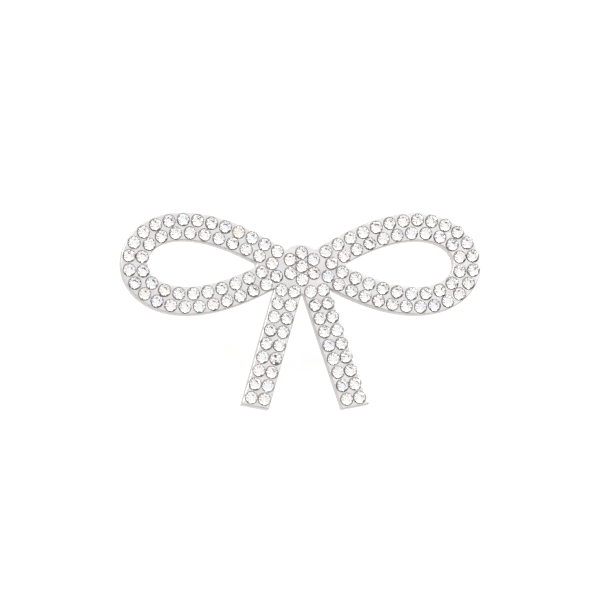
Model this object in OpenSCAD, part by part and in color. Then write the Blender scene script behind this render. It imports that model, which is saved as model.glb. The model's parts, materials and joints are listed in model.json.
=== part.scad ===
// Bow brooch: one cast plate paved with round foil-backed stones, with a riveted pin and a
// turning safety catch on its back.
// The face is +Z and the top of the bow is +Y. The brooch lies on its back. The origin is at
// the middle of the outline, at the level of the lowest point of the catch.
// All shapes are first drawn about the knot's middle stone, with the plate's back at z = 0.

/* [Stones] */
// Diameter of a stone across its girdle
stone_d = 2.05; // [1.8:0.05:2.5]
// Thickness of a stone's girdle
girdle_t = 0.1; // [0.05:0.01:0.2]
// Height of a stone's crown, above the girdle
crown_h = 0.34; // [0.25:0.01:0.5]
// Diameter of a stone's table
table_d = 1.15; // [0.9:0.05:1.5]
// Slope of a stone's back, from the girdle down to its point
back_slope = 41; // [38:1:45]
// How far a stone laps over the edge of its seat
seat_lap = 0.14; // [0.1:0.01:0.3]
// Thickness of the cement between a stone and its seat
cement_t = 0.01; // [0.005:0.005:0.03]
// Free depth below the point of a stone
seat_spare = 0.1; // [0.05:0.05:0.3]
// Gap between neighbouring stones along a row
stone_gap = 0.29; // [0.15:0.01:0.5]
// Gap between the two rows of stones on a ribbon
row_gap = 0.11; // [0.08:0.01:0.3]

/* [Bow] */
// Thickness of the cast plate
plate_t = 2; // [1.6:0.1:3]
// Metal outside the outer stones of a loop
loop_edge = 0.2; // [0.1:0.05:0.6]
// Length of a loop, from its tip in the knot to its round end, along the ribbon's middle
loop_len = 25.4; // [21:0.1:31]
// Height of a loop above its own axis at its fullest, to the ribbon's middle
loop_rise = 6.2; // [5.6:0.1:8]
// Distance of a loop's tip from the middle of the knot
loop_start = 2.5; // [1.5:0.1:3.5]
// Height of a loop's tip above the middle of the knot
loop_lift = 0.2; // [0:0.1:1]
// How far a loop leans up towards its round end
loop_lean = 1; // [0:0.5:5]
// Radius of the opening's inner corner at the knot
tip_round = 0.5; // [0.3:0.1:1]
// Points on the outline of one loop
loop_steps = 84; // [48:12:120]

/* [Tails] */
// Length of a tail, from where the middles of the two tails cross
tail_len = 28.4; // [23:0.1:35]
// Angle of a tail from the upright
tail_angle = 17.2; // [15:0.1:25]
// Height of the crossing of the tails above the middle of the knot
tail_cross = 3.8; // [3:0.1:5]
// Slope of the pairs of stones on a tail
tail_row_slope = 8; // [0:1:17]
// Slope of the cut end of a tail
tail_end_slope = 10.6; // [0:0.1:17]
// Metal outside the stones of a tail, at its sides
tail_edge = 0.15; // [0.1:0.05:0.6]

/* [Knot] */
// Gap between the middle stone and the ring of stones around it
knot_gap = 0.21; // [0.1:0.01:0.4]
// Metal above the ring of stones
knot_edge = 0.4; // [0.2:0.05:1]
// How far the round knot sits below its middle stone
knot_drop = 0.5; // [0:0.1:1]
// Extra distance from the knot's ring to the first stones of the loops and tails
first_gap = 0.25; // [0.1:0.05:0.6]
// Extra distance from the knot's ring to the stone at each side of the knot
side_gap = 0.1; // [0.05:0.05:0.4]
// Angle of the side stones below the level
side_angle = 21; // [18:1:24]

/* [Pin] */
// Height of the pin above the middle of the knot
pin_up = 0.9; // [0.5:0.1:1.2]
// Distance of the pin's middle from the back of the plate
pin_off = 2.5; // [2.3:0.1:4]
// How much thicker the pin is at its eye than along its shank
root_extra = 0.15; // [0.05:0.05:0.3]
// Length of the tapered root, from the middle of the eye
root_len = 1.5; // [1.2:0.1:2]
// Diameter of the pin's shank
shank_d = 0.8; // [0.6:0.05:1]
// Distance from the end of the straight shank to the lock
neck_clear = 0.4; // [0.3:0.1:1]
// Diameter of the pin where its point begins
neck_d = 0.66; // [0.5:0.02:0.85]
// Length of the pin's point
point_len = 1.3; // [0.8:0.1:2]
// Diameter of the pin's blunt tip
tip_d = 0.16; // [0.1:0.02:0.3]
// How far the pin reaches past the lock
pin_past = 1.4; // [1:0.1:2]

/* [Hinge] */
// Distance of the hinge from the upright middle of the bow
hinge_x = 5.5; // [5:0.1:6]
// Metal in the pin's eye around the rivet
eye_wall = 0.4; // [0.3:0.05:0.5]
// How much thicker the eye is than the pin's root
eye_extra = 0.05; // [0:0.05:0.2]
// Gap between the eye and each hinge ear
ear_gap = 0.05; // [0.03:0.01:0.1]
// Thickness of a hinge ear
ear_t = 0.4; // [0.3:0.05:0.5]
// How far an ear reaches past the eye, all round
ear_margin = 0.05; // [0:0.05:0.15]
// Diameter of the rivet
rivet_d = 0.6; // [0.4:0.05:0.8]
// How far a head of the rivet laps over an ear
rivet_head_lap = 0.2; // [0.1:0.05:0.3]
// Thickness of the rivet's heads
rivet_head_t = 0.18; // [0.1:0.02:0.25]
// Gap all round between the rivet and the pin's eye
rivet_gap = 0.04; // [0.02:0.01:0.08]

/* [Catch] */
// Distance of the catch from the upright middle of the bow
catch_x = 4.8; // [4:0.1:5]
// Outer diameter of the catch's shell
shell_d = 3; // [2.6:0.1:3.6]
// Thickness of the shell's wall
shell_t = 0.4; // [0.3:0.05:0.45]
// Length of the shell along the pin
shell_len = 1.3; // [1:0.1:1.6]
// Gap all round between the lock's barrel and the shell
lock_gap = 0.04; // [0.02:0.01:0.08]
// Gap between the shell and each flange of the lock
flange_gap = 0.05; // [0.03:0.01:0.1]
// How far the lock's flanges lap over the end of the shell
flange_lap = 0.2; // [0.1:0.05:0.3]
// Thickness of the lock's flanges
flange_t = 0.3; // [0.2:0.05:0.4]
// Gap between the pin's shank and the slot that takes it, at each side
slot_gap = 0.1; // [0.06:0.01:0.15]
// How far the lock's thumb lever reaches past the shell
lever_past = 1.2; // [0.8:0.1:2]
// Thickness of the thumb lever
lever_t = 0.5; // [0.4:0.05:0.6]
// Width of the thumb lever
lever_w = 0.9; // [0.6:0.05:1]
// Angle of the open lock's lever below the level
lever_rest = 15; // [10:1:20]

/* [Mounting bar] */
// Depth of the recess that the bar is soldered into
recess_depth = 0.3; // [0.2:0.05:0.5]
// Gap between the bar and the recess all round
recess_gap = 0.2; // [0.1:0.05:0.3]
// Thickness of the bar
bar_t = 0.45; // [0.35:0.05:0.6]
// How much wider than the catch's shell the bar is, at each side
bar_margin = 0.05; // [0:0.05:0.15]
// Bar's length past the hinge and past the catch's shell
bar_past = 1.3; // [1:0.1:1.5]

/* [Hidden] */
$fn = 48;
eps = 0.01;

// Stones and their seats
stone_r = stone_d / 2;
back_h = stone_r * tan(back_slope);
seat_r = stone_r - seat_lap;
girdle_z = plate_t + seat_lap * tan(back_slope) + cement_t;
seat_depth = back_h - (girdle_z - plate_t) + seat_spare;
stone_pitch = stone_d + stone_gap;
row_pitch = stone_d + row_gap;
loop_w = stone_d + row_pitch + 2 * loop_edge;
tail_w = stone_d + row_pitch + 2 * tail_edge;

// Knot: a middle stone, a ring of six around it, and one stone at each side
ring_r = stone_d + knot_gap;
knot_r = ring_r + stone_r + knot_edge + knot_drop;
first_r = 2 * ring_r + first_gap;
last_r = 3 * ring_r;
side_r = 2 * ring_r + side_gap;

// Loop: a teardrop. Its half angle h runs from 0 at the tip over the top to 180 at the tip.
// Along it is length * sin(h)^2, and across it is 2 * bulge * sin(h)^2 * cos(h).
bulge = loop_rise * 3 * sqrt(3) / 4;
function drop_point(h) = [loop_len * pow(sin(h), 2), 2 * bulge * pow(sin(h), 2) * cos(h)];
function drop_along(h) = [loop_len * cos(h), bulge * (2 * pow(cos(h), 2) - pow(sin(h), 2))];
function drop_out(h) = [-drop_along(h).y, drop_along(h).x] / norm(drop_along(h));
function lean(p) = [
  loop_start + p.x * cos(loop_lean) - p.y * sin(loop_lean),
  loop_lift + p.x * sin(loop_lean) + p.y * cos(loop_lean)
];
// A point beside the middle of the right loop's ribbon, at a distance outwards
function loop_point(h, out) = lean(drop_point(h) + out * drop_out(h));
// Height above the loop's own axis of a line that far outside the ribbon's middle
function axis_height(h, out) = (drop_point(h) + out * drop_out(h)).y;
// The half angle between two others at which a test that holds at the near one stops holding
function turning_angle(holds, near, far, n = 30) =
  let (mid = (near + far) / 2)
  n == 0 ? mid : holds(mid) ? turning_angle(holds, mid, far, n - 1) : turning_angle(holds, near, mid, n - 1);
// Whether a point is too near any of some [point, distance] pairs
function too_near(p, keeps) = len([for (k = keeps) if (norm(p - k[0]) < k[1]) k]) > 0;

// One row of stones: [distance run, half angle] pairs, then stones at equal distances
row_samples = 180;
function row_run(out, a, b) = let (step = (b - a) / row_samples) [
  for (i = 0, run = 0, last = loop_point(a, out); i <= row_samples;
    i = i + 1,
    run = run + norm(loop_point(a + i * step, out) - last),
    last = loop_point(a + i * step, out))
  [run, a + i * step]
];
function row_places(out, a, b) =
  let (
    run = row_run(out, a, b),
    total = run[row_samples][0],
    count = floor(total / stone_pitch)
  )
  [for (i = [0:count]) loop_point(lookup(total * i / count, run), out)];

// A row starts and ends clear of the knot's stones. The inner row's end is also clear of its start
// and of its own upper run.
outer_line = row_pitch / 2;
inner_line = -row_pitch / 2;
side_place = side_r * [cos(side_angle), -sin(side_angle)];
first_keeps = [[[0, 0], first_r], [side_place, ring_r]];
last_keeps = [[[0, 0], last_r], [side_place, ring_r]];
outer_first = turning_angle(function(h) too_near(loop_point(h, outer_line), first_keeps), 8, 60);
inner_first = turning_angle(function(h) too_near(loop_point(h, inner_line), first_keeps), 8, 60);
inner_last_keeps = concat(last_keeps, [[loop_point(inner_first, inner_line), ring_r]]);
outer_last = turning_angle(function(h) too_near(loop_point(h, outer_line), last_keeps), 172, 120);
inner_last = turning_angle(
  function(h) too_near(loop_point(h, inner_line), inner_last_keeps)
    || axis_height(h, inner_line) > -ring_r / 2,
  172, 120);
outer_row = row_places(outer_line, outer_first, outer_last);
inner_row = row_places(inner_line, inner_first, inner_last);

// Tail: a straight ribbon. A point is given by its distance down the tail and out from its middle.
tail_down = [sin(tail_angle), -cos(tail_angle)];
function tail_point(down, out, slope) =
  [0, tail_cross] + down * tail_down + out * [cos(slope), sin(slope)];
tail_first = tail_cross * cos(tail_angle)
  + sqrt(pow(first_r, 2) - pow(tail_cross * sin(tail_angle), 2));
tail_count = floor((tail_len - tail_first - stone_r - tail_edge / 2) / stone_pitch);
tail_half = ceil((tail_count + 1) / 2);

// Outline's top, bottom and middle, and the height of the plate's back above the ground
loop_top = max([for (h = [20:0.5:90]) loop_point(h, loop_w / 2).y]);
tail_side = tail_w / 2 / cos(tail_angle - tail_end_slope);
tail_foot = tail_point(tail_len, -tail_side, tail_end_slope).y;
middle_y = (loop_top + tail_foot) / 2;

// Pin, hinge and catch
root_d = shank_d + root_extra;
root_end = -hinge_x + root_len;
slot_w = shank_d + 2 * slot_gap;
// The lowest points of the whole brooch are the lips of the shell's slot
back_z = pin_off + sqrt(pow(shell_d / 2, 2) - pow(slot_w / 2, 2));
barrel_r = shell_d / 2 - shell_t - lock_gap;
flange_x = shell_len / 2 + flange_gap;
eye_d = rivet_d + 2 * rivet_gap + 2 * eye_wall;
eye_t = root_d + eye_extra;
ear_y = eye_t / 2 + ear_gap;
ear_r = eye_d / 2 + ear_margin;
bar_w = shell_d + 2 * bar_margin;
shank_end = catch_x - flange_x - flange_t - neck_clear;
bar_end = catch_x + bar_past;
bar_start = -hinge_x - bar_past;

module placed() {
  translate([0, -middle_y, back_z]) children();
}

module mirrored(side) {
  mirror([side < 0 ? 1 : 0, 0, 0]) children();
}

// Outline of the right loop's ribbon. The opening's corner is an arc that touches both its sides.
module loop_shape() {
  round_line = -loop_w / 2 - tip_round;
  tip = turning_angle(function(h) axis_height(h, round_line) < 0, 4, 60);
  difference() {
    polygon([for (i = [0:loop_steps]) loop_point(180 * i / loop_steps, loop_w / 2)]);
    polygon([for (i = [0:loop_steps]) loop_point(tip + (180 - 2 * tip) * i / loop_steps, -loop_w / 2)]);
    translate(loop_point(tip, round_line)) circle(r = tip_round);
  }
}

// Outline of the right tail, from inside the knot to its cut end
module tail_shape() {
  top = tail_cross;
  polygon([
    tail_point(top, -tail_w / 2, tail_angle),
    tail_point(top, tail_w / 2, tail_angle),
    tail_point(tail_len, tail_side, tail_end_slope),
    tail_point(tail_len, -tail_side, tail_end_slope)
  ]);
}

module bow_blank() {
  for (side = [-1, 1]) {
    mirrored(side) {
      linear_extrude(plate_t) loop_shape();
      linear_extrude(plate_t) tail_shape();
    }
  }
  translate([0, -knot_drop, 0]) cylinder(r = knot_r, h = plate_t);
}

function ring_places() = [for (a = [30:60:330]) ring_r * [cos(a), sin(a)]];
function tail_places(out) =
  [for (i = [0:tail_count]) tail_point(tail_first + i * stone_pitch, out * row_pitch / 2, tail_row_slope)];

module seats(places) {
  for (p = places) {
    translate([p.x, p.y, plate_t - seat_depth]) cylinder(r = seat_r, h = seat_depth + eps);
  }
}

module stones(places) {
  for (p = places) {
    translate([p.x, p.y, girdle_z]) rotate_extrude() polygon([
      [0, -back_h], [stone_r, 0], [stone_r, girdle_t], [table_d / 2, girdle_t + crown_h], [0, girdle_t + crown_h]
    ]);
  }
}

// Stones of one row, from a first to a last part of its length, at the left or the right
module row_stones(side, places, from, to) {
  first = round(from * len(places));
  last = round(to * len(places)) - 1;
  color("white") placed() mirrored(side) stones([for (i = [first:last]) places[i]]);
}

// Outline of the mounting bar: a strip with round ends
module bar_shape(grow) {
  ends = [bar_start + bar_w / 2, bar_end - bar_w / 2];
  for (x = ends) {
    translate([x, pin_up]) circle(d = bar_w + 2 * grow);
  }
  translate([ends[0], pin_up - bar_w / 2 - grow]) square([ends[1] - ends[0], bar_w + 2 * grow]);
}

module bow_body() {
  color("gainsboro") placed() difference() {
    bow_blank();
    seats(concat([[0, 0]], ring_places()));
    for (side = [-1, 1]) {
      mirrored(side) seats(concat([side_place], outer_row, inner_row, tail_places(1), tail_places(-1)));
    }
    translate([0, 0, -eps]) linear_extrude(recess_depth + eps) bar_shape(recess_gap);
  }
}

module knot_centre_stone() {
  color("white") placed() stones([[0, 0]]);
}

module knot_ring_stones() {
  color("white") placed() stones(ring_places());
}

module knot_side_stones() {
  for (side = [-1, 1]) {
    color("white") placed() mirrored(side) stones([side_place]);
  }
}

// Strip soldered to the back, with the hinge's two ears turned up from it
module pin_bar() {
  color("silver") placed() {
    translate([0, 0, recess_depth - bar_t]) linear_extrude(bar_t) bar_shape(0);
    for (side = [-1, 1]) {
      translate([-hinge_x, pin_up + side * (ear_y + ear_t / 2), -pin_off]) difference() {
        union() {
          rotate([90, 0, 0]) cylinder(r = ear_r, h = ear_t, center = true);
          translate([-ear_r, -ear_t / 2, 0]) cube([2 * ear_r, ear_t, pin_off + recess_depth - bar_t / 2]);
        }
        rotate([90, 0, 0]) cylinder(d = rivet_d, h = 2 * ear_t, center = true);
      }
    }
  }
}

// Ring open away from the plate, standing on the bar on a foot
module catch_shell() {
  foot_w = shell_d / 2;
  color("silver") placed() translate([catch_x, pin_up, -pin_off]) difference() {
    union() {
      rotate([0, 90, 0]) cylinder(d = shell_d, h = shell_len, center = true);
      translate([-shell_len / 2, -foot_w / 2, 0])
        cube([shell_len, foot_w, pin_off + recess_depth - bar_t]);
    }
    rotate([0, 90, 0]) cylinder(r = shell_d / 2 - shell_t, h = 2 * shell_len, center = true);
    translate([-shell_len, -slot_w / 2, -shell_d]) cube([2 * shell_len, slot_w, shell_d]);
  }
}

// Lock that turns in the shell: a slotted barrel between two flanges, with a thumb lever
module catch_lock() {
  lock_len = 2 * (flange_x + flange_t);
  flange_d = shell_d - 2 * shell_t + 2 * flange_lap;
  lever_root = slot_w / 2 + slot_gap;
  lever_len = shell_d / 2 + lever_past - lever_root - lever_t / 2;
  color("silver") placed() translate([catch_x, pin_up, -pin_off]) {
    difference() {
      union() {
        rotate([0, 90, 0]) cylinder(r = barrel_r, h = lock_len, center = true);
        for (side = [-1, 1]) {
          translate([side * (flange_x + flange_t / 2), 0, 0])
            rotate([0, 90, 0]) cylinder(d = flange_d, h = flange_t, center = true);
        }
        rotate([-lever_rest, 0, 0]) translate([flange_x, lever_root, 0]) {
          translate([0, 0, -lever_t / 2]) cube([lever_w, lever_len, lever_t]);
          translate([0, lever_len, 0]) rotate([0, 90, 0]) cylinder(d = lever_t, h = lever_w);
        }
      }
      rotate([0, 90, 0]) cylinder(d = slot_w, h = 2 * lock_len, center = true);
      translate([-lock_len, -slot_w / 2, -shell_d]) cube([2 * lock_len, slot_w, shell_d]);
    }
  }
}

// Round bar along the pin from one distance to another, tapering from one width to another
module pin_length(from, to, d1, d2) {
  translate([from, 0, 0]) rotate([0, 90, 0]) cylinder(d1 = d1, d2 = d2, h = to - from);
}

// Steel pin: a round eye on the rivet, a tapered root, a straight shank, a tapered neck and a point
module pin_stem() {
  tip_x = catch_x + flange_x + flange_t + pin_past;
  color("lightgray") placed() translate([0, pin_up, -pin_off]) difference() {
    union() {
      translate([-hinge_x, 0, 0]) rotate([90, 0, 0]) cylinder(d = eye_d, h = eye_t, center = true);
      pin_length(-hinge_x, root_end, root_d, shank_d);
      pin_length(root_end, shank_end, shank_d, shank_d);
      pin_length(shank_end, tip_x - point_len, shank_d, neck_d);
      pin_length(tip_x - point_len, tip_x, neck_d, tip_d);
    }
    translate([-hinge_x, 0, 0]) rotate([90, 0, 0])
      cylinder(r = rivet_d / 2 + rivet_gap, h = 2 * eye_t, center = true);
  }
}

module hinge_rivet() {
  reach = ear_y + ear_t;
  head_d = rivet_d + 2 * rivet_head_lap;
  color("darkgray") placed() translate([-hinge_x, pin_up, -pin_off]) rotate([90, 0, 0]) {
    cylinder(d = rivet_d, h = 2 * reach, center = true);
    for (side = [-1, 1]) {
      translate([0, 0, side * (reach + rivet_head_t / 2)])
        cylinder(d = head_d, h = rivet_head_t, center = true);
    }
  }
}

bow_body();
knot_centre_stone();
knot_ring_stones();
knot_side_stones();
row_stones(-1, outer_row, 0, 1 / 3);  // left_loop_outer_stones_upper
row_stones(-1, outer_row, 1 / 3, 2 / 3);  // left_loop_outer_stones_end
row_stones(-1, outer_row, 2 / 3, 1);  // left_loop_outer_stones_lower
row_stones(-1, inner_row, 0, 1 / 3);  // left_loop_inner_stones_upper
row_stones(-1, inner_row, 1 / 3, 2 / 3);  // left_loop_inner_stones_end
row_stones(-1, inner_row, 2 / 3, 1);  // left_loop_inner_stones_lower
row_stones(1, outer_row, 0, 1 / 3);  // right_loop_outer_stones_upper
row_stones(1, outer_row, 1 / 3, 2 / 3);  // right_loop_outer_stones_end
row_stones(1, outer_row, 2 / 3, 1);  // right_loop_outer_stones_lower
row_stones(1, inner_row, 0, 1 / 3);  // right_loop_inner_stones_upper
row_stones(1, inner_row, 1 / 3, 2 / 3);  // right_loop_inner_stones_end
row_stones(1, inner_row, 2 / 3, 1);  // right_loop_inner_stones_lower
row_stones(-1, tail_places(1), 0, 1 / 2);  // left_tail_outer_stones_upper
row_stones(-1, tail_places(1), 1 / 2, 1);  // left_tail_outer_stones_lower
row_stones(-1, tail_places(-1), 0, 1 / 2);  // left_tail_inner_stones_upper
row_stones(-1, tail_places(-1), 1 / 2, 1);  // left_tail_inner_stones_lower
row_stones(1, tail_places(1), 0, 1 / 2);  // right_tail_outer_stones_upper
row_stones(1, tail_places(1), 1 / 2, 1);  // right_tail_outer_stones_lower
row_stones(1, tail_places(-1), 0, 1 / 2);  // right_tail_inner_stones_upper
row_stones(1, tail_places(-1), 1 / 2, 1);  // right_tail_inner_stones_lower
pin_bar();
catch_shell();
catch_lock();
pin_stem();
hinge_rivet();
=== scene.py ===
"""A ribbon-bow brooch: a bright plated casting paved with foil-backed stones, with a pin and a catch behind.

Lengths below are in metres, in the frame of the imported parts, with the paved face up.
"""

import json

import bmesh
import bpy
import numpy as np
from mathutils import Matrix, Vector
from mathutils.geometry import delaunay_2d_cdt


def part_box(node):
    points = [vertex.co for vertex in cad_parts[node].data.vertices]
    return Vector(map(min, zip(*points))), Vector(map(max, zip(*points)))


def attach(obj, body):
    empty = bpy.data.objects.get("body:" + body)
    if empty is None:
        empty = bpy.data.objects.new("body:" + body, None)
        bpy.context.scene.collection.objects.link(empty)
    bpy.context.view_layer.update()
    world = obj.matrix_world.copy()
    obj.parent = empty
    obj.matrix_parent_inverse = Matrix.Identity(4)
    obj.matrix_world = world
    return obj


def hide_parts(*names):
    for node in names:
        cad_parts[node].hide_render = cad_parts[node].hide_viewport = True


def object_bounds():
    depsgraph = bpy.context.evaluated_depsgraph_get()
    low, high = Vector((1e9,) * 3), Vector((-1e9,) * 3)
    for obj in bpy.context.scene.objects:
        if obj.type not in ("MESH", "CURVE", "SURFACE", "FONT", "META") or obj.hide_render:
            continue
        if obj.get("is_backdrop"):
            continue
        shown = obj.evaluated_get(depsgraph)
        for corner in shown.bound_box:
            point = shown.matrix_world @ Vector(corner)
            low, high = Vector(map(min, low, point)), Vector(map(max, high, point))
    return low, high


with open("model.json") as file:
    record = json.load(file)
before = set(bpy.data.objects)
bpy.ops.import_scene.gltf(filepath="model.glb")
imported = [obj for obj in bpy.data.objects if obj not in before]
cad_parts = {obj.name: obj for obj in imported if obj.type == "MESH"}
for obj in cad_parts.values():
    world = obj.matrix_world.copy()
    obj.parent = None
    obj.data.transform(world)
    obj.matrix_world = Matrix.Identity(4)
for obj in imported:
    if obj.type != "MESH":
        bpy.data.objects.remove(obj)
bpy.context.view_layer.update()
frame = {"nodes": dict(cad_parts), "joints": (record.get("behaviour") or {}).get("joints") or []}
nodes = frame["nodes"]

MM = 0.001

# The plate. The steps are the distances from an edge at which its round gets a line of points.
RIM_ROUND = 0.16 * MM
BACK_ROUND = 0.14 * MM
SEAT_ROUND = 0.05 * MM
RECESS_DEPTH = 0.3 * MM
SEAT_DEPTH = 1.22 * MM
RIM_STEPS = np.array([0.01, 0.03, 0.07, 0.12, 0.17]) * MM
BACK_STEPS = np.array([0.05, 0.15]) * MM
SEAT_STEPS = np.array([0.05, 0.12, 0.24]) * MM
RIM_SPACING = 0.3 * MM
EDGE_CLEAR = 0.03 * MM
POCKET_CLEAR = 0.05 * MM
SEAT_CORNERS = 32
# How far lacquer stain and painted shade reach from a seat, and painted shade reaches from a rim
STAIN_AND_SHADE_REACH = 0.11 * MM
RIM_SHADE_REACH = 0.1 * MM

# The stones
STONE_R = 0.975 * MM
SEAT_R = 1.042 * MM
TABLE_R = 0.6 * MM
MIDDLE_R = 0.8 * MM
CROWN_H = 0.34 * MM
GIRDLE_T = 0.08 * MM
GIRDLE_WAVE = 0.022 * MM
BACK_H = 0.86 * MM
BACK_SHARE = 0.22
CULET_TO_GIRDLE = 0.891 * MM
CROWN_BLOCKS = 6
LOWER_GIRDLE = slice(32, 48)
LEAN_SPREAD = np.radians(1.6)
RISE_SPREAD = 0.015 * MM
SHIFT_MOST = 0.022 * MM
FIRST_SEED = 1000

# The finding
TURN_CORNERS = 24
RIVET_DOME = 0.15 * MM
RIVET_HEAD = 0.18 * MM
RIVET_SHANK_R = 0.3 * MM
LEVER_LEAN = np.radians(15)
GRIP_R = 0.07 * MM
GRIP_HALF = 0.36 * MM
GRIP_IN = 0.45 * MM
GRIP_REACHES = np.array([1.72, 1.97, 2.22]) * MM
GRIP_OFF = 0.245 * MM
SEAM_R = 0.095 * MM
SEAM_OUT = 0.08 * MM
SEAM_SINK = 0.07 * MM

# The lens, whose tilt is in degrees from straight above, to the left and towards the tails
LENS_TILT = (10.5, 8.5)
LENS_AWAY = 1.1
LENS_MM = 400


# ---------------------------------------------------------------- meshes


def points_of(shape):
    """Every corner of a mesh, as rows of x, y and z."""
    flat = np.empty(len(shape.data.vertices) * 3)
    shape.data.vertices.foreach_get("co", flat)
    return flat.reshape(-1, 3)


def make_piece(name, points, faces, finishes, finish_of=None, smooth=None, marks=None):
    """A piece from rows of points and a list of arrays of faces, each with its own number of corners.

    finish_of gives each face its finish by number. Edges that turn by more than the angle smooth stay
    crisp, and with no angle every face is flat. marks holds named values, one for each point.
    """
    mesh = bpy.data.meshes.new(name)
    rows = [face for block in faces for face in np.asarray(block).tolist()]
    mesh.from_pydata(np.asarray(points).tolist(), [], rows)
    for finish in finishes:
        mesh.materials.append(finish)
    if finish_of is not None:
        mesh.polygons.foreach_set("material_index", np.asarray(finish_of, np.int32))
    if smooth is not None:
        mesh.polygons.foreach_set("use_smooth", np.ones(len(mesh.polygons), bool))
        mesh.set_sharp_from_angle(angle=smooth)
    for mark, values in (marks or {}).items():
        layer = mesh.attributes.new(mark, "FLOAT", "POINT")
        layer.data.foreach_set("value", np.asarray(values, np.float32))
    mesh.update()
    piece = bpy.data.objects.new(name, mesh)
    bpy.context.scene.collection.objects.link(piece)
    return piece


def quads_of(rows, columns, round_rows=True, round_columns=True):
    """The faces of a grid whose points are numbered row by row. A way that is round closes on its start."""
    i, j = np.meshgrid(
        np.arange(rows if round_rows else rows - 1),
        np.arange(columns if round_columns else columns - 1),
        indexing="ij",
    )
    i, j = i.ravel(), j.ravel()
    down, on = (i + 1) % rows, (j + 1) % columns
    return np.stack([i, i, down, down], axis=1) * columns + np.stack([j, on, on, j], axis=1)


def corners_of(name):
    """The lowest and highest corners of a CAD node."""
    return (np.array(corner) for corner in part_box(name))


def merged(shape):
    """A CAD mesh's points, each once, and its triangles between them."""
    mesh = shape.data
    mesh.calc_loop_triangles()
    corners = np.empty(len(mesh.loop_triangles) * 3, np.int32)
    mesh.loop_triangles.foreach_get("vertices", corners)
    spots, same = np.unique(np.round(points_of(shape), 7), axis=0, return_inverse=True)
    return spots, same.ravel()[corners.reshape(-1, 3)]


def rim_edges(shape, height):
    """The plan of the flat faces that a CAD mesh has at one height.

    Returns plan points, and the edges that only one of those faces uses, each as a pair of points.
    """
    spots, triangles = merged(shape)
    level = np.abs(spots[triangles][:, :, 2] - height).max(axis=1) < 2e-6
    triangles = triangles[level]
    edges = np.concatenate([triangles[:, [0, 1]], triangles[:, [1, 2]], triangles[:, [2, 0]]])
    ahead = edges[:, 0] * len(spots) + edges[:, 1]
    behind = edges[:, 1] * len(spots) + edges[:, 0]
    return spots[:, :2], edges[~np.isin(ahead, behind)]


def divided(plan, edges, most):
    """A rim as a ring of points no further apart than most.

    Each edge is cut into equal lengths. Returns the points, and for each the next one along the rim.
    """
    start, end = plan[edges[:, 0]], plan[edges[:, 1]]
    cuts = np.ceil(np.linalg.norm(end - start, axis=1) / most).astype(int)
    first = np.concatenate([[0], np.cumsum(cuts)[:-1]])
    edge = np.repeat(np.arange(len(edges)), cuts)
    share = (np.arange(cuts.sum()) - first[edge]) / cuts[edge]
    points = start[edge] + (end - start)[edge] * share[:, None]
    begins = np.zeros(len(plan), int)
    begins[edges[:, 0]] = first
    after = np.arange(len(points)) + 1
    after[first + cuts - 1] = begins[edges[:, 1]]
    return points, after


def inward(points, after):
    """At each point of a rim, the direction to its left, halfway between those of its two edges.

    It is longer at a corner, up to 1.4, so that points moved along it stay parallel to the edges.
    """
    along = points[after] - points
    along /= np.linalg.norm(along, axis=1)[:, None]
    left = np.stack([-along[:, 1], along[:, 0]], axis=1)
    before = np.empty_like(after)
    before[after] = np.arange(len(after))
    both = left + left[before]
    length = np.maximum(np.linalg.norm(both, axis=1), 1e-9)
    return both / length[:, None] * np.minimum(2 / length, 1.4)[:, None]


def shares_of(count):
    """The numbers below count in shares of about 1500, so that a table of places by edges stays small."""
    return np.array_split(np.arange(count), max(1, count // 1500))


def rim_distance(places, points, after):
    """How far each place is from a rim: the least distance to any of its edges."""
    start, step = points, points[after] - points
    size = (step**2).sum(axis=1)
    least = np.empty(len(places))
    for part in shares_of(len(places)):
        away = places[part][:, None, :] - start[None]
        share = np.clip((away * step[None]).sum(axis=2) / size, 0, 1)
        gap = away - share[:, :, None] * step[None]
        least[part] = np.sqrt((gap**2).sum(axis=2).min(axis=1))
    return least


def rounded_drop(distance, radius):
    """How far a quarter-round edge lies below its face: radius less the height of a circle's arc."""
    short = np.clip(radius - distance, 0, radius)
    return radius - np.sqrt(np.maximum(radius**2 - short**2, 0))


def within(places, points, after):
    """Whether each place is inside a rim: a line from it along +X crosses the rim an odd number of times."""
    a, b = points, points[after]
    step = b - a
    inside = np.empty(len(places), bool)
    for part in shares_of(len(places)):
        x, y = places[part, 0][:, None], places[part, 1][:, None]
        spans = (a[None, :, 1] > y) != (b[None, :, 1] > y)
        rise = np.where(step[:, 1] == 0, 1.0, step[:, 1])
        crossing = a[None, :, 0] + (y - a[None, :, 1]) * (step[:, 0] / rise)
        inside[part] = ((x < crossing) & spans).sum(axis=1) % 2 == 1
    return inside


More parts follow.
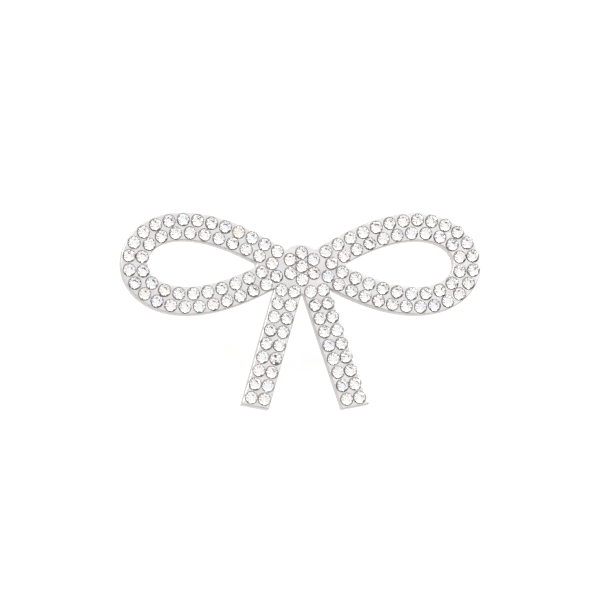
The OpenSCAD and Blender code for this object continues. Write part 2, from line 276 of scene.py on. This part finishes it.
def filled(places, edges):
    """Delaunay triangles of the plan, through every place and along every edge, and a place for each.

    Triangles that meet across anything but one of the edges are one region. The place is the middle of
    the region's largest triangle, so that slivers along an edge go with the side that they are on. A region
    of nothing but slivers is left out.
    """
    found = delaunay_2d_cdt([Vector(p) for p in (places / MM).tolist()], edges.tolist(), [], 0, 1e-7, True)
    triangles = np.array([ids[0] for ids in found[3]])[np.array(found[2])]
    sides = np.sort(np.stack([triangles, np.roll(triangles, -1, axis=1)], axis=2).reshape(-1, 2), axis=1)
    names = sides @ [len(places), 1]
    fences = np.sort(edges, axis=1) @ [len(places), 1]
    order = np.argsort(names, kind="stable")
    meet = (names[order][1:] == names[order][:-1]) & ~np.isin(names[order][1:], fences)
    one, other = order[:-1][meet] // 3, order[1:][meet] // 3
    region, before = np.arange(len(triangles)), None
    while before is None or (region != before).any():
        before = region.copy()
        least = np.minimum(region[one], region[other])
        np.minimum.at(region, one, least)
        np.minimum.at(region, other, least)
        region = region[region]
    a, b, c = (places[triangles[:, i]] for i in range(3))
    area = np.abs((b - a)[:, 0] * (c - a)[:, 1] - (b - a)[:, 1] * (c - a)[:, 0])
    rising = np.argsort(area, kind="stable")
    largest = np.empty(len(triangles), int)
    largest[region[rising]] = rising
    largest = largest[region]
    keep = area[largest] > 1e-6 * MM**2
    return triangles[keep], ((a + b + c) / 3)[largest][keep]


# ---------------------------------------------------------------- finishes


class Wire:
    """A socket in a finish's nodes. A sum written with it becomes Math nodes."""

    def __init__(self, tree, socket=None):
        self.tree = tree
        self.socket = socket

    def node(self, kind, settings, sockets, out=0):
        """Adds any node: its settings first, then the value or the wire for each socket."""
        made = self.tree.nodes.new(kind)
        for name, value in settings.items():
            if name == "stops":
                while len(made.color_ramp.elements) < len(value):
                    made.color_ramp.elements.new(0.5)
                for stop, (place, colour) in zip(made.color_ramp.elements, value, strict=True):
                    stop.position = place
                    stop.color = colour
            else:
                setattr(made, name, value)
        for name, value in sockets.items():
            if isinstance(value, Wire):
                self.tree.links.new(value.socket, made.inputs[name])
            else:
                made.inputs[name].default_value = value
        return Wire(self.tree, made.outputs[out] if made.outputs else None)

    def math(self, operation, a, b):
        """One Math node on two values or wires."""
        return self.node("ShaderNodeMath", {"operation": operation}, {0: a, 1: b})

    def __add__(self, other):
        return self.math("ADD", self, other)

    def __radd__(self, other):
        return self.math("ADD", other, self)

    def __sub__(self, other):
        return self.math("SUBTRACT", self, other)

    def __rsub__(self, other):
        return self.math("SUBTRACT", other, self)

    def __mul__(self, other):
        return self.math("MULTIPLY", self, other)

    def __rmul__(self, other):
        return self.math("MULTIPLY", other, self)

    def between(self, low, high):
        """0 below low, 1 above high, and smooth between them."""
        settings = {"interpolation_type": "SMOOTHSTEP"}
        return self.node("ShaderNodeMapRange", settings, {"Value": self, "From Min": low, "From Max": high})

    def blend(self, a, b):
        """Colour a where this wire is 0, and colour b where it is 1."""
        settings = {"data_type": "RGBA", "blend_type": "MIX"}
        return self.node("ShaderNodeMix", settings, {0: self, 6: a, 7: b}, out=2)

    def bump(self, strength, distance):
        """The normal of a surface whose height in metres is this wire times distance."""
        return self.node("ShaderNodeBump", {}, {"Strength": strength, "Distance": distance, "Height": self})


def rgb(r, g, b):
    """A colour from its red, green and blue."""
    return (r, g, b, 1.0)


def finish(name, recipe, **fixed):
    """A material of one Principled shader. fixed holds its own settings, and recipe returns what varies."""
    material = bpy.data.materials.new(name)
    material.use_nodes = True
    tree = material.node_tree
    tree.nodes.clear()
    wire = Wire(tree)
    shader = wire.node("ShaderNodeBsdfPrincipled", {}, {**fixed, **recipe(wire)})
    wire.node("ShaderNodeOutputMaterial", {}, {"Surface": shader})
    return material


def place_of(wire, stretch=(1, 1, 1)):
    """Where a point is on its piece, in millimetres times stretch."""
    spot = wire.node("ShaderNodeTexCoord", {}, {}, out="Object")
    settings = {"operation": "MULTIPLY"}
    return wire.node("ShaderNodeVectorMath", settings, {0: spot, 1: [1000 * s for s in stretch]})


def noise(wire, spot, scale, detail=2.0, rough=0.5):
    """Cloudy noise from 0 to 1, with scale clouds or so to a millimetre."""
    sockets = {"Vector": spot, "Scale": scale, "Detail": detail, "Roughness": rough}
    return wire.node("ShaderNodeTexNoise", {}, sockets)


def mark_of(wire, name):
    """A value stored on the piece's own points."""
    return wire.node("ShaderNodeAttribute", {"attribute_name": name}, {}, out="Fac")


def plating(wire):
    """Bright plating over a casting: soft cloudy gloss, faint ripples, lacquer stain with painted shade
    round and inside the seats and in the recess, and painted shade as a darker tone along the rims."""
    spot = place_of(wire)
    cloud = noise(wire, spot, 0.55, 3.0)
    grain = noise(wire, spot, 9.0, 4.0, 0.6)
    # Lacquer stain and painted shade: a browner, darker colour near and inside the seats and in the recess
    stain_and_shade = mark_of(wire, "by_seat").between(0.2, 0.9) * (0.55 + 0.45 * cloud.between(0.35, 0.62))
    tone = cloud.between(0.3, 0.7).blend(rgb(0.655, 0.65, 0.66), rgb(0.715, 0.71, 0.715))
    # Painted shade: a darker tone along the rims
    tone = (0.8 * mark_of(wire, "by_rim").between(0.2, 0.9)).blend(tone, rgb(0.50, 0.47, 0.45))
    colour = (0.75 * stain_and_shade).blend(tone, rgb(0.42, 0.37, 0.33))
    ripple = cloud * 6 + 0.4 * grain
    return {
        "Base Color": colour,
        "Roughness": 0.22 + 0.12 * grain + 0.10 * stain_and_shade,
        "Normal": ripple.bump(0.35, 0.00002),
    }


def crystal(wire):
    """Clear lead glass, with a trace of tint that differs from stone to stone."""
    tint = mark_of(wire, "lot")
    return {"Base Color": tint.blend(rgb(1.0, 0.997, 0.992), rgb(0.992, 0.996, 1.0))}


def foiling(wire):
    """Silver foil on the back facets, worn to gold here and there, with painted shade: dark notches at
    corners of the girdle, mostly on the side towards the tails, that stand in for dark reflections in the
    facets."""
    spot = place_of(wire)
    tint = mark_of(wire, "lot")
    worn = noise(wire, spot, 2.2, 2.0).between(0.62, 0.72) * 0.5
    silver = tint.blend(rgb(0.975, 0.97, 0.96), rgb(0.965, 0.97, 0.98))
    silver = (0.2 * tint.between(0.94, 0.97)).blend(silver, rgb(0.90, 0.89, 0.97))
    silver = (0.2 * (1 - tint.between(0.03, 0.06))).blend(silver, rgb(0.94, 0.89, 0.80))
    spots = noise(wire, spot, 1.1, 2.0).between(0.70, 0.72) * 0.8
    # Painted shade: the dark notches, with the dark spots, darken the foil
    shade = (mark_of(wire, "creep").between(0.50, 0.62) + spots).between(0.0, 1.0)
    return {
        "Base Color": shade.blend(worn.blend(silver, rgb(0.86, 0.72, 0.52)), rgb(0.07, 0.055, 0.05)),
        "Roughness": 0.03 + 0.05 * worn + 0.4 * shade,
    }


def lacquering(wire):
    """Brown lacquer and dried cement round each stone, a little glossy."""
    spot = place_of(wire)
    cloud = noise(wire, spot, 3.0, 3.0)
    return {
        "Base Color": cloud.between(0.35, 0.65).blend(rgb(0.30, 0.21, 0.14), rgb(0.50, 0.42, 0.35)),
        "Roughness": 0.3 + 0.3 * cloud,
    }


def brushing(dark, light, stretch, rough):
    """Steel with fine lines: noise stretched along the way that it was drawn or turned."""

    def recipe(wire):
        lines = noise(wire, place_of(wire, stretch), 6.0, 4.0, 0.65)
        cloud = noise(wire, place_of(wire), 1.2, 3.0)
        return {
            "Base Color": (0.5 * lines + 0.5 * cloud).between(0.3, 0.7).blend(dark, light),
            "Roughness": rough + 0.16 * lines + 0.08 * cloud,
            "Normal": lines.bump(0.3, 0.00001),
        }

    return recipe


PLATE = finish("bright_plate", plating, Metallic=1.0)
CRYSTAL = finish("crystal_crown", crystal, **{"Roughness": 0.0, "IOR": 1.56, "Transmission Weight": 1.0})
FOIL = finish("silver_foil", foiling, Metallic=1.0)
LACQUER = finish("brown_lacquer", lacquering)
rolled = brushing(rgb(0.62, 0.61, 0.61), rgb(0.78, 0.78, 0.79), (0.12, 3, 3), 0.22)
polished = brushing(rgb(0.7, 0.7, 0.71), rgb(0.84, 0.84, 0.85), (0.3, 2, 2), 0.14)
drawn = brushing(rgb(0.6, 0.6, 0.61), rgb(0.76, 0.76, 0.77), (0.1, 4, 4), 0.16)
soldered = brushing(rgb(0.42, 0.42, 0.43), rgb(0.62, 0.62, 0.62), (3, 3, 3), 0.34)
hammered = brushing(rgb(0.5, 0.5, 0.5), rgb(0.68, 0.68, 0.68), (2, 2, 2), 0.28)
STRIP = finish("rolled_strip", rolled, Metallic=1.0)
LOCK = finish("polished_lock", polished, Metallic=1.0)
DRAWN = finish("drawn_wire", drawn, Metallic=1.0)
SOLDER = finish("dull_solder", soldered, Metallic=1.0)
RIVET = finish("rivet_steel", hammered, Metallic=1.0)


# ---------------------------------------------------------------- stones

stone_nodes = sorted(name for name in nodes if "stone" in name)


def culets(name):
    """The middles of a row's stones in plan, from the lowest points of their backs."""
    points = points_of(nodes[name])
    low = points[points[:, 2] < points[:, 2].min() + 2e-6]
    return np.unique(np.round(low, 6), axis=0)


def cut_stone():
    """One round brilliant, as points and blocks of faces, the crown's first and the foiled back's last.

    Rings of points run round the axis. The table is a ring of 8 and the crown's middle ring is turned half
    a step from it. The girdle has two rings of 16, and the back has a ring of 8 and the culet. A kite
    facet is level across its middle, so the middle ring lies on the line from table to girdle.
    """
    eighth = np.arange(8) * np.pi / 4
    sixteenth = np.arange(16) * np.pi / 8
    slope = (CROWN_H - 0.01 * MM) / (STONE_R - TABLE_R)
    middle_z = GIRDLE_T + CROWN_H - slope * (MIDDLE_R * np.cos(np.pi / 8) - TABLE_R)
    back_z = -BACK_H * (1 - BACK_SHARE * np.cos(np.pi / 8))

    def ring(angles, r, z):
        return np.stack([r * np.cos(angles), r * np.sin(angles), z + 0 * angles], axis=1)

    scallop = GIRDLE_WAVE * (np.arange(16) % 2)
    points = np.concatenate(
        [
            ring(eighth, TABLE_R, GIRDLE_T + CROWN_H),
            ring(eighth + np.pi / 8, MIDDLE_R, middle_z),
            ring(sixteenth, STONE_R, GIRDLE_T + scallop),
            ring(sixteenth, STONE_R, -scallop),
            ring(eighth + np.pi / 8, BACK_SHARE * STONE_R, back_z),
            [[0, 0, -BACK_H]],
        ]
    )
    k = np.arange(8)
    table, middle, upper, lower, back = 0, 8, 16, 32, 48
    after = (k + 1) % 8
    before = (k - 1) % 8
    j = np.arange(16)
    ahead = (j + 1) % 16
    kites = np.stack([table + k, middle + before, upper + 2 * k, middle + k], axis=1)
    stars = np.stack([table + k, middle + k, table + after], axis=1)
    first = np.stack([middle + k, upper + 2 * k, upper + 2 * k + 1], axis=1)
    second = np.stack([middle + k, upper + 2 * k + 1, upper + (2 * k + 2) % 16], axis=1)
    girdle = np.stack([upper + j, lower + j, lower + ahead, upper + ahead], axis=1)
    mains = np.stack([np.full(8, 56), back + k, lower + 2 * k, back + before], axis=1)
    third = np.stack([back + k, lower + 2 * k + 1, lower + 2 * k], axis=1)
    fourth = np.stack([back + k, lower + (2 * k + 2) % 16, lower + 2 * k + 1], axis=1)
    return points, [np.arange(8)[None], kites, stars, first, second, girdle, mains, third, fourth]


def set_stones(name, first):
    """A row of stones. Each is one cut stone turned at random about its axis, leant by a degree or two and
    shifted a little as hand-set stones are, and moved to its seat."""
    points, faces = cut_stone()
    seats = culets(name)
    count = len(seats)
    chance = np.random.default_rng(FIRST_SEED + first)
    spin = chance.uniform(0, 2 * np.pi, count)
    lean = np.tan(chance.normal(0, LEAN_SPREAD, (count, 2)))
    rise = chance.normal(0, RISE_SPREAD, count)
    shift = chance.uniform(-SHIFT_MOST, SHIFT_MOST, (count, 2))
    c, s = np.cos(spin)[:, None], np.sin(spin)[:, None]
    x = points[:, 0] * c - points[:, 1] * s
    y = points[:, 0] * s + points[:, 1] * c
    z = points[:, 2] + x * lean[:, :1] + y * lean[:, 1:]
    x = x - points[:, 2] * lean[:, :1]
    y = y - points[:, 2] * lean[:, 1:]
    middle = seats[:, :2] + shift
    girdle_z = seats[:, 2] + CULET_TO_GIRDLE + rise
    placed = np.stack([x + middle[:, :1], y + middle[:, 1:], z + girdle_z[:, None]], axis=2)
    step = (np.arange(count) * len(points))[:, None, None]
    blocks = [(block[None] + step).reshape(-1, block.shape[1]) for block in faces]
    finish_of = np.concatenate([np.full(len(b), i >= CROWN_BLOCKS) for i, b in enumerate(blocks)])

    # Painted shade: dark notches on the foil at the lower girdle's corners, mostly on the side towards the
    # tails, in place of dark reflections
    lot = np.repeat(chance.uniform(0, 1, count), len(points))
    creep = np.zeros((count, len(points)))
    south = 0.5 - 0.5 * y[:, LOWER_GIRDLE] / STONE_R
    creep[:, LOWER_GIRDLE] = chance.uniform(0, 1, south.shape) < 0.03 + 0.6 * south**2
    creep[:, LOWER_GIRDLE] *= chance.uniform(0.8, 1.0, south.shape)
    marks = {"lot": lot, "creep": creep.ravel()}
    piece = make_piece("set_" + name, placed.reshape(-1, 3), blocks, [CRYSTAL, FOIL], finish_of, marks=marks)
    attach(piece, "plate")
    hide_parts(name)
    return seats


all_seats = np.concatenate([set_stones(name, i) for i, name in enumerate(stone_nodes)])


# ---------------------------------------------------------------- plate


def seat_distance(places):
    """How far each place is outside the nearest seat's edge."""
    return np.linalg.norm(places[:, None] - all_seats[None, :, :2], axis=2).min(axis=1) - SEAT_R


def seat_turns():
    """The corners of all seats' edges in turn, and for each the next one round its seat."""
    here = np.arange(len(all_seats) * SEAT_CORNERS)
    return here, here - here % SEAT_CORNERS + (here + 1) % SEAT_CORNERS


def beside(rim, after, steps):
    """Loose points inside a rim, in lines parallel to it at the distances in steps."""
    loose = (rim[None] + steps[:, None, None] * inward(rim, after)[None]).reshape(-1, 2)
    return loose[rim_distance(loose, rim, after) > 0.97 * np.repeat(steps, len(rim))]


def front_plan(rim, after):
    """The paved face in plan: the rim, the seats' edges and loose points beside both, and the triangles
    between them. The loose points carry the rounds, so they keep clear of every other edge."""
    around = np.arange(SEAT_CORNERS) * 2 * np.pi / SEAT_CORNERS
    circle = np.stack([np.cos(around), np.sin(around)], axis=1)
    seats = all_seats[:, :2]
    seat_rim = (seats[:, None] + SEAT_R * circle[None]).reshape(-1, 2)
    loose_rim = beside(rim, after, RIM_STEPS)
    loose_rim = loose_rim[seat_distance(loose_rim) > EDGE_CLEAR]
    loose_seat = (seats[None, :, None] + (SEAT_R + SEAT_STEPS)[:, None, None, None] * circle).reshape(-1, 2)
    keep = seat_distance(loose_seat) > 0.97 * np.repeat(SEAT_STEPS, len(seat_rim))
    keep &= within(loose_seat, rim, after) & (rim_distance(loose_seat, rim, after) > EDGE_CLEAR)
    places = np.concatenate([rim, seat_rim, loose_rim, loose_seat[keep]])
    rim_edge = np.stack([np.arange(len(rim)), after], axis=1)
    seat_edge = len(rim) + np.stack(seat_turns(), axis=1)
    cap, middle = filled(places, np.concatenate([rim_edge, seat_edge]))
    return places, cap[within(middle, rim, after) & (seat_distance(middle) > 0)]


def back_plan(rim, after, pocket, pocket_after):
    """The back in plan: the rim, the recess's edge and loose points beside the rim, and the triangles
    between them."""
    loose = beside(rim, after, BACK_STEPS)
    loose = loose[rim_distance(loose, pocket, pocket_after) > POCKET_CLEAR]
    places = np.concatenate([rim, pocket, loose])
    rim_edge = np.stack([np.arange(len(rim)), after], axis=1)
    pocket_edge = len(rim) + np.stack([np.arange(len(pocket)), pocket_after], axis=1)
    cap, middle = filled(places, np.concatenate([rim_edge, pocket_edge]))
    return places, cap[within(middle, rim, after) & ~within(middle, pocket, pocket_after)]


def bow_plate():
    """The casting. Its plan comes from the CAD plate's rims. Its height above any place in the plan is the
    flat face, less a quarter round by the rim and a smaller one by each seat."""
    low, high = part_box("bow_body")
    top, bottom = high.z, low.z
    plan, edges = rim_edges(nodes["bow_body"], top)
    outside_seats = seat_distance(plan[edges].mean(axis=1)) > 2 * EDGE_CLEAR
    rim, after = divided(plan, edges[outside_seats], RIM_SPACING)
    n, m = len(rim), len(all_seats) * SEAT_CORNERS
    seat_rim = slice(n, n + m)

    # The paved face
    places, cap = front_plan(rim, after)
    from_rim = rim_distance(places, rim, after)
    from_rim[:n] = 0
    from_seat = seat_distance(places)
    from_seat[seat_rim] = 0
    height = top - rounded_drop(from_rim, RIM_ROUND) - rounded_drop(from_seat, SEAT_ROUND)
    points = [np.column_stack([places, height])]
    # Nearness to a seat, for lacquer stain and painted shade
    by_seat = [np.exp(-np.maximum(from_seat, 0) / STAIN_AND_SHADE_REACH)]
    # Nearness to the rim, for painted shade
    by_rim = [np.exp(-from_rim / RIM_SHADE_REACH)]
    faces = [cap]

    # The seats' walls and floors
    here, turn = seat_turns()
    wall = len(places)
    hub = wall + m
    floor = top - SEAT_DEPTH
    points.append(np.column_stack([places[seat_rim], np.full(m, floor)]))
    points.append(np.column_stack([all_seats[:, :2], np.full(len(all_seats), floor)]))
    # Full lacquer stain and painted shade on the seats' walls and floors
    by_seat.append(np.ones(m + len(all_seats)))
    by_rim.append(np.zeros(m + len(all_seats)))
    faces.append(np.stack([n + here, n + turn, wall + turn, wall + here], axis=1))
    faces.append(np.stack([hub + here // SEAT_CORNERS, wall + here, wall + turn], axis=1))

    # The back, and the plate's sides between the two rims
    recess_plan, recess_edges = rim_edges(nodes["bow_body"], bottom + RECESS_DEPTH)
    pocket, pocket_after = divided(recess_plan, recess_edges[:, ::-1], RIM_SPACING)
    under = hub + len(all_seats)
    back, cap = back_plan(rim, after, pocket, pocket_after)
    from_rim = rim_distance(back, rim, after)
    from_rim[:n] = 0
    points.append(np.column_stack([back, bottom + rounded_drop(from_rim, BACK_ROUND)]))
    by_seat.append(np.zeros(len(back)))
    by_rim.append(np.exp(-from_rim / RIM_SHADE_REACH))
    faces.append(under + cap[:, ::-1])
    rows = np.arange(n)
    faces.append(np.stack([under + rows, under + after, after, rows], axis=1))

    # The recess
    p = len(pocket)
    ceiling = under + len(back)
    points.append(np.column_stack([pocket, np.full(p, bottom + RECESS_DEPTH)]))
    # Painted shade in the recess on the back
    by_seat.append(np.full(p, 0.6))
    by_rim.append(np.zeros(p))
    rows = np.arange(p)
    cap, middle = filled(pocket, np.stack([rows, pocket_after], axis=1))
    faces.append(ceiling + cap[within(middle, pocket, pocket_after)][:, ::-1])
    edge, edge_after = under + n + rows, under + n + pocket_after
    faces.append(np.stack([ceiling + rows, ceiling + pocket_after, edge_after, edge], axis=1))
    piece = make_piece(
        "plated_bow",
        np.concatenate(points),
        faces,
        [PLATE],
        smooth=np.radians(50),
        marks={"by_seat": np.concatenate(by_seat), "by_rim": np.concatenate(by_rim)},
    )
    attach(piece, "plate")
    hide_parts("bow_body")
    return top


plate_top = bow_plate()


def cement_rings():
    """Lacquer and cement in the gap round every stone: a ring whose section is a low hump from the seat's
    wall to the stone's girdle, carried round each seat."""
    around = np.arange(TURN_CORNERS) * 2 * np.pi / TURN_CORNERS
    radii = SEAT_R - np.array([0, 0, 0.022, 0.062, 0.072])[:, None] * MM
    heights = np.array([-0.5, -0.07, -0.045, -0.05, -0.5])[:, None] * MM
    ring = np.stack([radii * np.cos(around), radii * np.sin(around), heights + 0 * around], axis=2)
    ring = ring.reshape(-1, 3)
    base = np.column_stack([all_seats[:, :2], np.full(len(all_seats), plate_top)])
    points = (base[:, None] + ring[None]).reshape(-1, 3)
    step = (np.arange(len(all_seats)) * len(ring))[:, None, None]
    quads = (quads_of(len(radii), len(around))[None] + step).reshape(-1, 4)
    piece = make_piece("stone_cement", points, [quads], [LACQUER], smooth=np.radians(60))
    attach(piece, "plate")


cement_rings()


# ---------------------------------------------------------------- finding


def softened(name, body, metal, width):
    """A stamped or turned part of the finding: the CAD part with its flat faces joined up and a small round
    carried along its edges."""
    spots, triangles = merged(nodes[name])
    piece = make_piece("soft_" + name, spots, [triangles], [metal])
    shape = bmesh.new()
    shape.from_mesh(piece.data)
    bmesh.ops.dissolve_limit(shape, angle_limit=np.radians(0.5), verts=shape.verts, edges=shape.edges)
    shape.to_mesh(piece.data)
    shape.free()
    piece.data.polygons.foreach_set("use_smooth", np.ones(len(piece.data.polygons), bool))
    piece.data.set_sharp_from_angle(angle=np.radians(35))
    edge = piece.modifiers.new("edge_round", "BEVEL")
    edge.width = width
    edge.segments = 2
    edge.limit_method = "ANGLE"
    edge.angle_limit = np.radians(40)
    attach(piece, body)
    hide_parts(name)


def turned(profile, middle, axis, count=TURN_CORNERS):
    """Points and faces of a turned shape: a profile of distances along an axis and from it, carried round
    the axis, with a point at each end."""
    axis = np.array(axis, float)
    side = np.cross(axis, [0, 0, 1])
    up = np.cross(axis, side)
    angles = np.arange(count) * 2 * np.pi / count
    along, out = profile.T
    spoke = np.cos(angles)[:, None] * side + np.sin(angles)[:, None] * up
    rings = along[1:-1, None, None] * axis + out[1:-1, None, None] * spoke
    ends = along[[0, -1], None] * axis
    points = middle + np.concatenate([rings.reshape(-1, 3), ends])
    last = len(along) - 3
    k = np.arange(count)
    after = (k + 1) % count
    first_fan = np.stack([np.full(count, len(points) - 2), after, k], axis=1)
    last_fan = np.stack([last * count + k, last * count + after, np.full(count, len(points) - 1)], axis=1)
    return points, [quads_of(last + 1, count, round_rows=False), first_fan, last_fan]


def hinge_pin():
    """The hinge's rivet: a straight shank with a low dome hammered over at each end.

    A dome is a quarter of an ellipse from the end's middle to the head's edge.
    """
    low, high = corners_of("hinge_rivet")
    half, head = (high[1] - low[1]) / 2, (high[0] - low[0]) / 2
    turn = np.linspace(0, np.pi / 2, 6)
    dome = np.column_stack([half - RIVET_DOME * (1 - np.cos(turn)), head * np.sin(turn)])
    neck = half - RIVET_HEAD
    end = np.concatenate([dome, [[neck, head], [neck, RIVET_SHANK_R]]])
    profile = np.concatenate([end * [-1, 1], end[::-1]])
    points, faces = turned(profile, (low + high) / 2, (0, 1, 0))
    piece = make_piece("domed_rivet", points, faces, [RIVET], smooth=np.radians(40))
    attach(piece, "plate")
    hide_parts("hinge_rivet")


def lever_grips():
    """Three rounded ridges across each face of the thumb lever: turned bars whose ends are quarter rounds,
    sunk to half their thickness."""
    joint = next(j for j in frame["joints"] if j["name"] == "lock_turn")
    centre = np.array(joint["pos_m"])
    centre[0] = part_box("catch_lock")[1].x - GRIP_IN
    out = np.array([0, np.cos(LEVER_LEAN), -np.sin(LEVER_LEAN)])
    face = np.array([0, np.sin(LEVER_LEAN), np.cos(LEVER_LEAN)])
    turn = np.linspace(0, np.pi / 2, 5)
    cap = np.column_stack([GRIP_R - GRIP_HALF - GRIP_R * np.cos(turn), GRIP_R * np.sin(turn)])
    profile = np.concatenate([cap, cap[::-1] * [-1, 1]])
    blocks, faces = [], []
    for reach in GRIP_REACHES:
        for side in (-GRIP_OFF, GRIP_OFF):
            points, shape = turned(profile, centre + reach * out + side * face, (1, 0, 0), 12)
            faces += [block + len(points) * len(blocks) for block in shape]
            blocks.append(points)
    piece = make_piece("lever_grips", np.concatenate(blocks), faces, [LOCK], smooth=np.radians(50))
    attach(piece, "lock")


def track(way, straight, turn):
    """A track in plan, round the origin, at distances way along it: its points, and directions out of it.

    From the lower left it runs a straight, a half circle whose length is turn, a straight and a half circle.
    """
    radius = turn / np.pi
    angle = np.clip(way - straight, 0, turn) + np.clip(way - 2 * straight - turn, 0, turn)
    along = np.clip(way, 0, straight) - np.clip(way - straight - turn, 0, straight) - straight / 2
    out = np.column_stack([np.sin(angle / radius), -np.cos(angle / radius)])
    return np.column_stack([along, 0 * way]) + radius * out, out


def solder_seam(base):
    """Solder round the bar in its recess: an uneven bead of round section, half as high again as it is wide,
    carried along a track. Its size is 1 plus three sines of the way round, with 7, 19 and 41 waves."""
    low, high = corners_of("pin_bar")
    radius = (high[1] - low[1]) / 2 + SEAM_OUT
    straight, turn = high[0] - low[0] + 2 * (SEAM_OUT - radius), np.pi * radius
    share = np.arange(240) / 240
    line, out = track(share * 2 * (straight + turn), straight, turn)
    line = line + (low + high)[:2] / 2
    wave = 2 * np.pi * share
    swell = 1 + 0.18 * np.sin(7 * wave) + 0.12 * np.sin(19 * wave + 1) + 0.08 * np.sin(41 * wave + 2)
    around = np.arange(10) * 2 * np.pi / 10
    thick = SEAM_R * swell[:, None]
    plan = line[:, None] + out[:, None] * (thick * np.cos(around))[:, :, None]
    height = base + RECESS_DEPTH - SEAM_SINK - 1.5 * thick * np.sin(around)
    points = np.concatenate([plan, height[:, :, None]], axis=2).reshape(-1, 3)
    piece = make_piece("solder_seam", points, [quads_of(240, 10)], [SOLDER], smooth=np.radians(80))
    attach(piece, "plate")


softened("pin_bar", "plate", STRIP, 0.05 * MM)
softened("catch_shell", "plate", STRIP, 0.07 * MM)
softened("catch_lock", "lock", LOCK, 0.05 * MM)
softened("pin_stem", "pin", DRAWN, 0.04 * MM)
hinge_pin()
lever_grips()
solder_seam(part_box("bow_body")[0].z)


# ---------------------------------------------------------------- studio


def soft_light(name, place, aim, wide, deep, power, colour):
    """A soft box: an area lamp of that size at a place, facing the aim."""
    lamp = bpy.data.lights.new(name, "AREA")
    lamp.shape = "RECTANGLE"
    lamp.size = wide
    lamp.size_y = deep
    lamp.energy = power
    lamp.color = colour
    holder = bpy.data.objects.new(name, lamp)
    holder.location = place
    holder.rotation_euler = (Vector(aim) - Vector(place)).to_track_quat("-Z", "Y").to_euler()
    bpy.context.scene.collection.objects.link(holder)


def studio():
    """A white light tent: bright all over but for a dimmer, warmer foot and a dimmer crown, with a dark card
    on the side of the tails that gives the stones their dark glints, and two soft boxes."""
    world = bpy.data.worlds.new("light_tent")
    world.use_nodes = True
    tree = world.node_tree
    tree.nodes.clear()
    wire = Wire(tree)
    way = wire.node("ShaderNodeTexCoord", {}, {}, out="Generated")
    east, north, up = (wire.node("ShaderNodeSeparateXYZ", {}, {0: way}, out=axis) for axis in "XYZ")
    stops = [
        (0.0, rgb(0.52, 0.50, 0.48)),
        (0.16, rgb(0.62, 0.60, 0.58)),
        (0.30, rgb(0.98, 0.97, 0.96)),
        (0.88, rgb(1.0, 1.0, 1.0)),
        (0.965, rgb(0.70, 0.695, 0.70)),
    ]
    sky = wire.node("ShaderNodeValToRGB", {"stops": stops}, {"Fac": up})
    card = (0.35 * east - north).between(0.10, 0.15) * up.between(0.46, 0.50) * (1 - up.between(0.80, 0.84))
    sky = card.blend(sky, rgb(0.03, 0.024, 0.02))
    glow = wire.node("ShaderNodeBackground", {}, {"Color": sky, "Strength": 1.4})
    wire.node("ShaderNodeOutputWorld", {}, {"Surface": glow})
    bpy.context.scene.world = world
    soft_light("left_box", (-0.45, 0.30, 0.42), (0, 0, 0), 0.3, 0.3, 1.5, (1.0, 0.99, 0.98))
    soft_light("right_box", (0.42, 0.25, 0.5), (0, 0, 0), 0.25, 0.25, 1.5, (0.98, 0.99, 1.0))
    bpy.context.scene.view_settings.view_transform = "Standard"


def table_top():
    """A light table: a white floor lit from below, so that shadows on it are faint. It lies below the
    brooch, low enough to leave room for the opened pin."""
    low, high = corners_of("pin_stem")
    side = np.linspace(-0.6, 0.6, 13)
    x, y = np.meshgrid(side, side, indexing="ij")
    points = np.stack([x, y, 0 * x - (high[0] - low[0])], axis=2).reshape(-1, 3)
    quads = quads_of(13, 13, round_rows=False, round_columns=False)[:, ::-1]

    def paper(wire):
        grain = noise(wire, place_of(wire), 0.8, 3.0)
        return {"Base Color": grain.blend(rgb(0.38, 0.38, 0.38), rgb(0.42, 0.42, 0.42))}

    lit = {"Roughness": 0.9, "Emission Color": rgb(1, 1, 1), "Emission Strength": 0.6}
    floor = make_piece("table_top", points, [quads], [finish("white_table", paper, **lit)])
    floor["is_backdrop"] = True


def view():
    """A long lens over the paved face, a little to the left of it and a little below, held level with the
    bow."""
    low, high = (Vector(corner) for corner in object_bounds())
    aim = Vector(((low.x + high.x) / 2 - 0.5 * MM, (low.y + high.y) / 2 + 1.75 * MM, high.z - 0.5 * MM))
    back = Vector([-np.tan(np.radians(tilt)) for tilt in LENS_TILT] + [1]).normalized()
    along = Vector((1, 0, 0))
    right = (along - back * along.dot(back)).normalized()
    up = back.cross(right)
    lens = bpy.data.cameras.new("lens")
    lens.lens = LENS_MM
    lens.sensor_width = 36
    lens.clip_start = 0.01
    camera = bpy.data.objects.new("camera", lens)
    turn = Matrix((right, up, back)).transposed().to_4x4()
    camera.matrix_world = Matrix.Translation(aim + back * LENS_AWAY) @ turn
    bpy.context.scene.collection.objects.link(camera)
    bpy.context.scene.camera = camera


view()
table_top()
studio()
